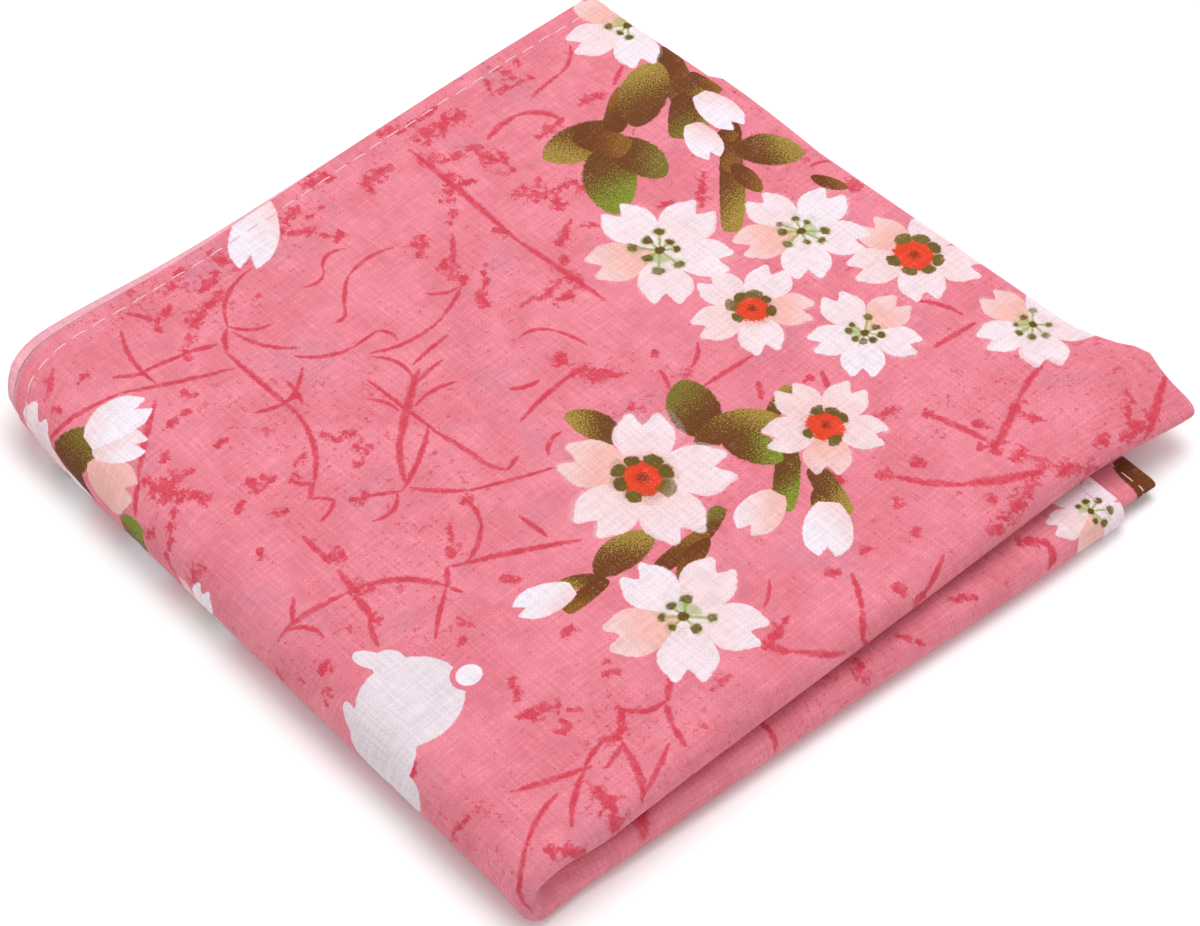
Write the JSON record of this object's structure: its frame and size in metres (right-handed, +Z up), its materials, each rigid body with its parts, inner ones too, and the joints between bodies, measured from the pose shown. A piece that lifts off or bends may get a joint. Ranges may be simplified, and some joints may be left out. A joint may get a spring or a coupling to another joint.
{
  "type": "folded wrapping cloth",
  "caption": "Square cotton wrapping cloth with a stitched hem, printed with blossoms and leaves, folded into a flat square bundle.",
  "frame": {"origin": "middle of the bounding box on the surface that the bundle lies on", "axes": "+X along the front, towards the end where the two halves fan out; +Y from the front folds to the hems at the back; +Z up through the layers"},
  "size_m": [0.1282, 0.131, 0.0107],
  "materials": {
    "cotton": "plain-woven printed cotton, matt"
  },
  "bodies": {
    "root": {"folded_cloth": "cotton"}
  },
  "joints": []
}
